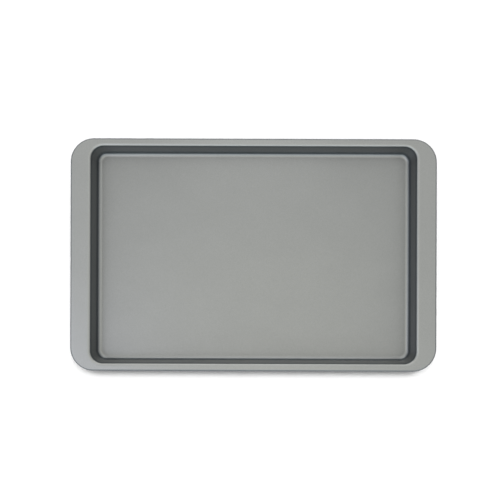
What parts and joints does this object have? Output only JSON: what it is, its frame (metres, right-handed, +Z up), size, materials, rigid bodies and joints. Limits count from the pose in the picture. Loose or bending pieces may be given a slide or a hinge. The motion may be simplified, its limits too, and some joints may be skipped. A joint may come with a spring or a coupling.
{
  "type": "sheet pan",
  "caption": "Shallow rectangular sheet pan pressed from steel, with a grey non-stick baking side, drafted walls, a rolled wired edge and a wider flat grip at each short end.",
  "frame": {"origin": "centre of the underside of the floor, at the height of the surface that the pan rests on", "axes": "+X along the length, from grip to grip; +Y along the width, away from the front; +Z up, out of the tray"},
  "size_m": [0.4276, 0.2716, 0.025],
  "materials": {
    "steel_sheet": "aluminised sheet, satin grey",
    "nonstick_film": "metallic grey non-stick, satin",
    "steel_wire": "drawn wire"
  },
  "bodies": {
    "root": {"pan_body": "steel_sheet", "nonstick_coating": "nonstick_film", "rim_wire": "steel_wire"}
  },
  "joints": []
}
